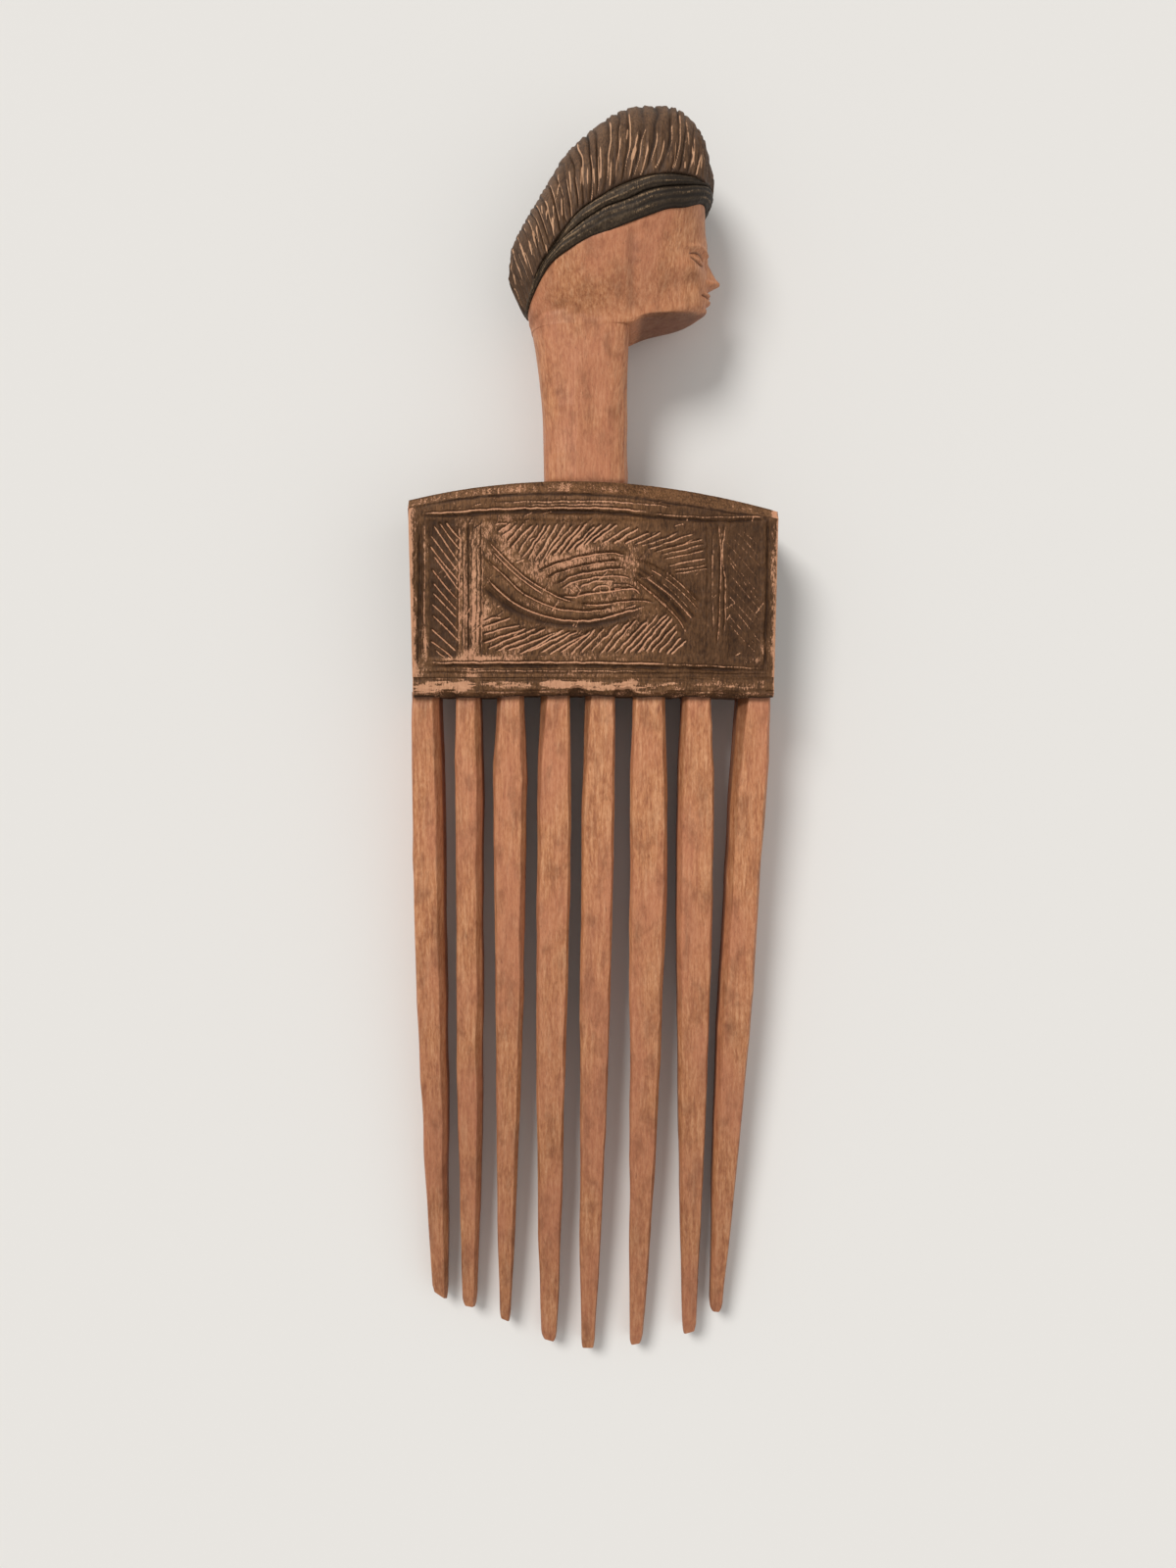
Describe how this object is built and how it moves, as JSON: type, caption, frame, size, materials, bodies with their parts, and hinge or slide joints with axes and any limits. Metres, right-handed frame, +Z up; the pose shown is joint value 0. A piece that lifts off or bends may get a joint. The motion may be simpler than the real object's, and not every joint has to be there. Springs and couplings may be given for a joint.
{
  "type": "hair comb",
  "caption": "Carved wooden hair comb: long whittled teeth under an arched, carved panel, with a neck and a head in profile that wears a rolled headband and grooved hair.",
  "frame": {"origin": "middle of the comb's box, on the table that it lies on face up", "axes": "+Y from the tooth tips to the head, +X to the side that the face looks, +Z up out of the carved face; the board itself leans 2.7 degrees about X, because it lies on the headband and the tooth tips"},
  "size_m": [0.0634, 0.219, 0.0225],
  "materials": {
    "bare_wood": "hand-planed hardwood, worn to a low sheen",
    "stained_wood": "brown-black stain over carved hardwood, rubbed through on the edges",
    "black_wood": "black stain, burnished by handling"
  },
  "bodies": {
    "root": {"tooth_1": "bare_wood", "tooth_2": "bare_wood", "tooth_3": "bare_wood", "tooth_4": "bare_wood", "tooth_5": "bare_wood", "tooth_6": "bare_wood", "tooth_7": "bare_wood", "tooth_8": "bare_wood", "tooth_rail": "stained_wood", "panel": "stained_wood", "neck": "bare_wood", "head": "bare_wood", "band_lower": "black_wood", "band_upper": "black_wood", "hair": "stained_wood"}
  },
  "joints": []
}
